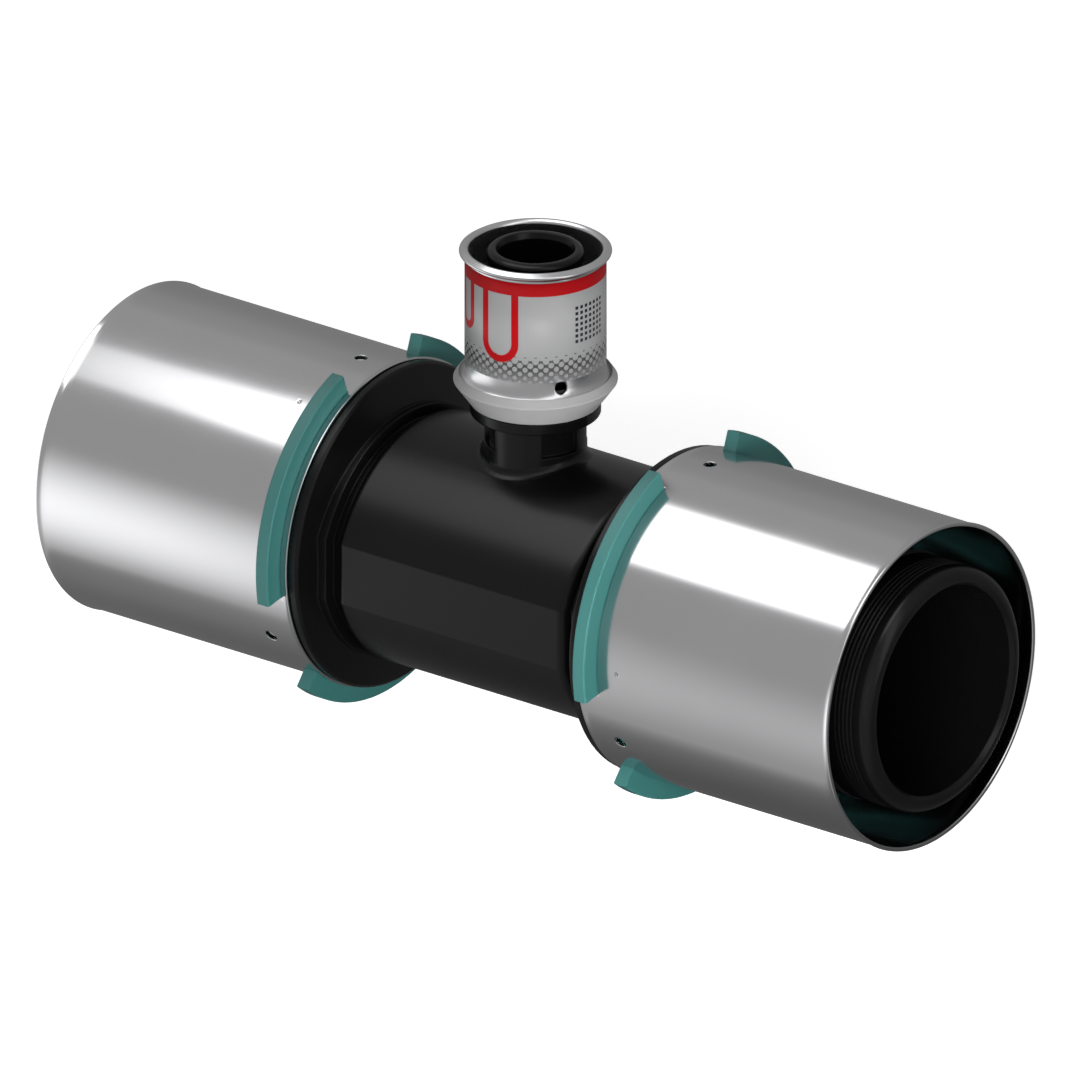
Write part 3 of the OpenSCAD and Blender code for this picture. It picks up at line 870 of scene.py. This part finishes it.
def pale_floor():
    """White to the camera. Elsewhere glow = FLOOR_GLOW at y * (1 + lean along x, in front only)."""
    recipe = Recipe("pale_floor")
    place = recipe.place()
    cloud = recipe.noise(place, 8, detail=2)
    pale = recipe.blend(cloud, (0.86, 0.86, 0.86, 1), (0.88, 0.88, 0.88, 1))
    seen = recipe.node("ShaderNodeLightPath").outputs["Is Camera Ray"]
    x, y = recipe.node("ShaderNodeSeparateXYZ", Vector=place).outputs[:2]
    depth = recipe.ramp(y, -FLOOR_HALF, FLOOR_HALF)
    glow = recipe.node("ShaderNodeValToRGB", Fac=depth)
    stops = glow.color_ramp.elements
    for _ in range(len(FLOOR_GLOW) - len(stops)):
        stops.new(0.5)
    for stop, (where, grey) in zip(stops, FLOOR_GLOW):
        stop.position = (where + FLOOR_HALF) / (2 * FLOOR_HALF)
        stop.color = (grey, grey, grey, 1)
    lean = recipe.math("MULTIPLY", recipe.ramp(x, *LEAN_ALONG, *LEAN),
                       recipe.ramp(y, *LEAN_FRONT))
    level = recipe.math("MULTIPLY", glow.outputs["Color"], recipe.math("ADD", lean, 1.0))
    mirrored = recipe.node("ShaderNodeCombineColor", _0=level, _1=level, _2=level).outputs[0]
    lift = recipe.blend(seen, mirrored, (FLOOR_LIFT, FLOOR_LIFT, FLOOR_LIFT, 1))
    return recipe.finish(Base_Color=recipe.blend(seen, (0, 0, 0, 1), pale), Roughness=0.9,
                         Specular_IOR_Level=0.0, Emission_Color=lift, Emission_Strength=1.0)


corners = np.array([[-1, -1, 0], [1, -1, 0], [1, 1, 0], [-1, 1, 0]]) * FLOOR_HALF
corners[:, 2] = floor_z
floor_mesh = bpy.data.meshes.new("floor")
floor_mesh.from_pydata(corners.tolist(), [], [[0, 1, 2, 3]])
floor_mesh.materials.append(pale_floor())
floor = add_object("floor", floor_mesh)
print("floor at", round(floor_z / MM, 2), "mm")

# %% [markdown]
# ## Camera
# The photograph is a parallel view: equal lengths stay equal from the near end to the far one. So
# the camera is orthographic, looks from the front right and above, and its up keeps the branch
# upright in the picture.

# %% Camera
from mathutils import Matrix, Vector

VIEW_TURN = np.radians(37.94)
VIEW_RISE = np.radians(23.07)
FRAME_WIDTH = 212.3 * MM
AIM_RIGHT, AIM_UP = -0.109 * MM, 6.19 * MM
EYE_DISTANCE = 0.7


def placed(side, up, back, place):
    """Matrix of a camera or lamp at place that looks along minus back, with its right on side."""
    return Matrix(np.column_stack([side, up, back, place]).tolist() + [[0, 0, 0, 1]])


right = lie_down([np.cos(VIEW_TURN), np.sin(VIEW_TURN), 0])
towards = lie_down([np.sin(VIEW_TURN) * np.cos(VIEW_RISE), -np.cos(VIEW_TURN) * np.cos(VIEW_RISE),
                    np.sin(VIEW_RISE)])
upward = np.cross(towards, right)
eye = right * AIM_RIGHT + upward * AIM_UP + towards * EYE_DISTANCE
camera_data = bpy.data.cameras.new("camera")
camera_data.type = "ORTHO"
camera_data.ortho_scale = FRAME_WIDTH
camera_data.clip_end = 20
camera = add_object("camera", camera_data)
camera.matrix_world = placed(right, upward, towards, eye)
bpy.context.scene.camera = camera
print("camera looks from", towards.round(3))

# %% [markdown]
# ## Studio light
# Steel shows what it mirrors, so its bands are soft glow cards that only mirrors see: a long one
# for the broad band high on the sleeves, a low one for the gentler band below it, and one behind
# for the back. A card's own map gives its glow: it is weaker towards one end of the run and fades
# out at its edges, as a softbox does.

# %% Glow cards
MIRROR_X = -0.5656


def around_run(turn):
    """Direction whose mirror image in the run's skin reaches the camera at that turn about X."""
    a = np.radians(turn)
    across = np.sqrt(1 - MIRROR_X ** 2)
    return lie_down([MIRROR_X, -across * np.sin(a), across * np.cos(a)])


def facing(direction):
    """Unit vectors side, up and back for something out in that direction; side follows the run."""
    back = Vector(direction).normalized()
    side = (Vector((1, 0, 0)) - back * back.x).normalized()
    return side, back.cross(side), back


def soft_glow(name, strength, along, fades, taper):
    """Glow that adds to what lies behind it: strength times three soft ramps.

    Along the run it goes from along[2] to along[3] of its strength between the places along[0] and
    along[1], in metres from the middle. Across it, it fades over the share fades of its width at
    each edge, and its width grows from the share taper[2] at taper[0] to its full size at taper[1].
    """
    recipe = Recipe(name)
    flat = recipe.node("ShaderNodeTexCoord").outputs["UV"]
    u, v = recipe.node("ShaderNodeSeparateXYZ", Vector=flat).outputs[:2]
    width = recipe.ramp(u, taper[0], taper[1], taper[2], 1.0)
    off_middle = recipe.math("DIVIDE", recipe.math("SUBTRACT", v, 0.5), width)
    across = recipe.math("ADD", off_middle, 0.5)
    glow = strength
    for value, *reach in ((u, *along), (across, 0, fades), (across, 1, 1 - fades)):
        soft = recipe.ramp(value, *reach, settings={"interpolation_type": "SMOOTHSTEP"})
        glow = recipe.math("MULTIPLY", glow, soft)
    light = recipe.node("ShaderNodeEmission", Strength=glow)
    clear = recipe.node("ShaderNodeBsdfTransparent")
    both = recipe.node("ShaderNodeAddShader", _0=light.outputs[0], _1=clear.outputs[0])
    recipe.put(recipe.tree.nodes["Material Output"].inputs["Surface"], both.outputs[0])
    recipe.tree.nodes.remove(recipe.shader)
    return recipe.material


def glow_card(name, direction, distance, size, strength, along, fades, taper=(0.0, 1.0, 1.0)):
    """Card that only mirrors see; its map has u in metres from the middle and v from 0 to 1."""
    side, up, back = facing(direction)
    corners = [back * distance + side * (x * size[0] / 2) + up * (y * size[1] / 2)
               for x, y in ((-1, -1), (1, -1), (1, 1), (-1, 1))]
    mesh = bpy.data.meshes.new(name)
    mesh.from_pydata(corners, [], [[0, 1, 2, 3]])
    half = size[0] / 2
    mesh.uv_layers.new(name="flat").data.foreach_set("uv", [-half, 0, half, 0, half, 1, -half, 1])
    mesh.materials.append(soft_glow(name, strength, along, fades, taper))
    card = add_object(name, mesh)
    card.visible_camera = card.visible_diffuse = card.visible_shadow = False
    print(f"{name}: {size[0]} by {size[1]} m, strength {strength}")


glow_card("long_card", around_run(17.0), distance=0.7, size=(1.6, 0.6), strength=2.6,
          along=(-0.085, 0.0, 0.06, 1.0), fades=0.1, taper=(-0.06, 0.03, 0.47))
glow_card("low_card", around_run(116.6), distance=0.4, size=(0.8, 0.47), strength=1.3,
          along=(-0.085, 0.06, 1.0, 0.17), fades=0.5)
glow_card("back_card", (0.66, 0.5, 0.56), distance=0.7, size=(1.6, 0.32), strength=1.4,
          along=(-0.4, 0.0, 0.5, 1.0), fades=0.2)

# %% [markdown]
# ## Lamps and room
# Two square fills light the plastics from the front and the right. A narrow spot far out on the
# run's axis just fills the right mouth, so the teal ring inside can be seen. No mirror sees any of
# them. The room is one plain white, a little weaker for diffuse light than for mirrors.

# %% Lamps
MOUTH_LAMP_X = 0.6


def hidden_lamp(name, kind, power, side, up, back, place):
    """Lamp that neither the camera nor a mirror sees."""
    data = bpy.data.lights.new(name, kind)
    data.energy = power
    lamp = add_object(name, data)
    lamp.matrix_world = placed(side, up, back, place)
    lamp.visible_glossy = lamp.visible_camera = False
    print(f"{name}: {power} W")
    return data


def square_fill(name, direction, away, size, power):
    """Square lamp that looks at the tee from that direction."""
    side, up, back = facing(direction)
    fill = hidden_lamp(name, "AREA", power, side, up, back, back * away)
    fill.shape = "RECTANGLE"
    fill.size = fill.size_y = size


square_fill("front_fill", (0.9, -0.7, 0.9), away=1.8, size=1.6, power=5)
square_fill("right_fill", (0.72, -0.25, 0.65), away=0.24, size=0.1, power=0.37)
spot = hidden_lamp("mouth_lamp", "SPOT", 3.2, side=(0, 0, -1), up=(0, 1, 0), back=(1, 0, 0),
                   place=(MOUTH_LAMP_X, 0, 0))
spot.shadow_soft_size = 0.01
spot.spot_size = 2 * np.arctan(SLEEVE_MOUTH_R / (MOUTH_LAMP_X - SLEEVE_END))
spot.spot_blend = 0

# %% Room
ROOM_DIFFUSE = 0.34
world = bpy.data.worlds.new("studio")
bpy.context.scene.world = world
world.use_nodes = True
background = world.node_tree.nodes["Background"]
background.inputs["Color"].default_value = (1, 1, 1, 1)
path = world.node_tree.nodes.new("ShaderNodeLightPath")
strength = world.node_tree.nodes.new("ShaderNodeMapRange")
strength.inputs["To Min"].default_value = ROOM_GLOW
strength.inputs["To Max"].default_value = ROOM_DIFFUSE
world.node_tree.links.new(path.outputs["Is Diffuse Ray"], strength.inputs["Value"])
world.node_tree.links.new(strength.outputs["Result"], background.inputs["Strength"])
bpy.context.scene.view_settings.view_transform = "Standard"
print("room:", ROOM_GLOW, "in mirrors,", ROOM_DIFFUSE, "as diffuse light")

# %% [markdown]
